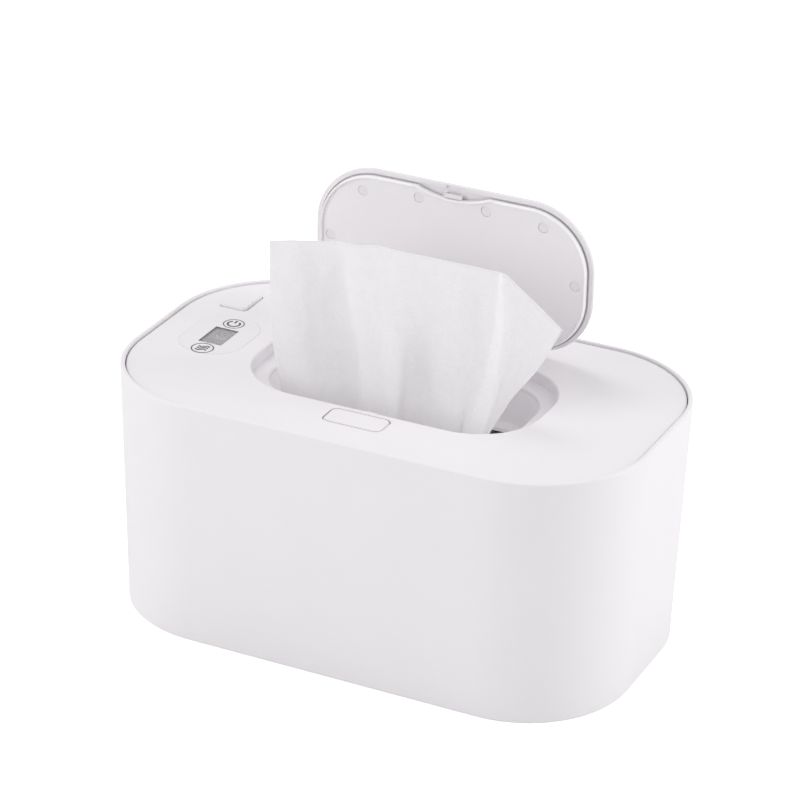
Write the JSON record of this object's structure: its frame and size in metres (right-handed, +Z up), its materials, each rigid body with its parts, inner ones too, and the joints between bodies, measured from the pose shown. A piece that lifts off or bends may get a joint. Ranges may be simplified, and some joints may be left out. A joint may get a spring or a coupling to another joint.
{
  "type": "baby wipe warmer",
  "caption": "Oval drafted tub with a framed lift-off cover, a sprung oval lid standing open, and a soft wipe pulled through the opening.",
  "frame": {"origin": "on the table, under the middle of the body", "axes": "+X to the user's right along the body, +Y away from the user towards the hinge, +Z up"},
  "size_m": [0.22, 0.132, 0.1701],
  "materials": {
    "shell_white": "fine satin moulded ABS, off-white",
    "cover_white": "satin moulded ABS, off-white",
    "tray_white": "satin moulded PP, off-white",
    "lid_white": "semi-gloss moulded ABS, off-white",
    "key_white": "satin moulded ABS, off-white",
    "seal_silicone": "translucent white silicone",
    "foot_rubber": "grey rubber",
    "tank_metal": "satin drawn aluminium",
    "steel": "zinc plated",
    "film_kapton": "amber heater film",
    "foam": "closed-cell insulation foam",
    "ceramic_tan": "epoxy bead",
    "board_green": "solder-masked board",
    "part_black": "black moulded nylon",
    "lead_red": "PVC lead",
    "lead_white": "silicone lead",
    "contact_brass": "plated contact",
    "ribbon_grey": "ribbon cable",
    "cloth": "soft nonwoven",
    "overlay_film": "clear-coated graphic film",
    "display_glass": "smoked display window",
    "display_body": "display module"
  },
  "bodies": {
    "base": {"outer_shell": "shell_white", "base_plate": "shell_white", "base_screws": "steel", "rubber_feet": "foot_rubber", "inner_tank": "tank_metal", "tank_screws": "steel", "heating_film": "film_kapton", "insulation_foam": "foam", "thermal_cutoff": "steel", "thermistor": "ceramic_tan", "power_board": "board_green", "power_board_parts": "part_black", "dc_jack": "part_black", "jack_pin": "steel", "jack_leads": "lead_red", "heater_leads": "lead_white", "contact_block": "part_black", "contact_pads": "contact_brass", "contact_ribbon": "ribbon_grey", "wipe_stack": "cloth"},
    "cover": {"top_cover": "cover_white", "cover_tray": "tray_white", "tray_screws": "steel", "cover_seal": "seal_silicone", "control_overlay": "overlay_film", "display_lens": "display_glass", "lcd_module": "display_body", "control_board": "board_green", "board_screws": "steel", "touch_springs": "contact_brass", "contact_pins": "contact_brass", "lid_hinge_pin": "steel", "lid_spring": "steel", "hook_axle": "steel", "hook_spring": "steel", "button_spring": "steel", "release_spring": "steel", "latch_spring": "steel", "wipe": "cloth"},
    "lid": {"lid_shell": "lid_white", "lid_liner": "tray_white", "lid_seal": "seal_silicone"},
    "lid_button": {"lid_button": "key_white"},
    "lid_hook": {"lid_hook": "key_white"},
    "release_button": {"release_button": "key_white"},
    "cover_latch": {"cover_latch": "key_white"}
  },
  "joints": [
    {"name": "cover_lift", "type": "slide", "parent": "base", "child": "cover", "axis": [0, 0, 1], "range_m": [0, 0.06]},
    {"name": "lid_hinge", "type": "hinge", "parent": "cover", "child": "lid", "pos_m": [0, 0.0389, 0.0976], "axis": [1, 0, 0], "range_deg": [0, 88.5], "stiffness_Nm_per_rad": 0.008, "springref_deg": -68.75, "deforming": ["wipe", "lid_spring"]},
    {"name": "lid_button_press", "type": "slide", "parent": "cover", "child": "lid_button", "axis": [0, 0, -1], "range_m": [0, 0.0012], "stiffness_N_per_m": 400, "springref_m": -0.003, "deforming": ["button_spring"]},
    {"name": "hook_turn", "type": "hinge", "parent": "cover", "child": "lid_hook", "pos_m": [0, -0.032, 0.0905], "axis": [1, 0, 0], "range_deg": [0, 6.6], "deforming": ["hook_spring"]},
    {"name": "release_press", "type": "slide", "parent": "cover", "child": "release_button", "axis": [0, 0, -1], "range_m": [0, 0.002], "stiffness_N_per_m": 400, "springref_m": -0.003, "deforming": ["release_spring"]},
    {"name": "latch_draw", "type": "slide", "parent": "cover", "child": "cover_latch", "axis": [1, 0, 0], "range_m": [0, 0.002], "deforming": ["latch_spring"]}
  ],
  "couplings": [
    {"joint": "hook_turn", "follows": "lid_button_press", "rad_per_m": 91.6},
    {"joint": "latch_draw", "follows": "release_press", "ratio": 1}
  ]
}
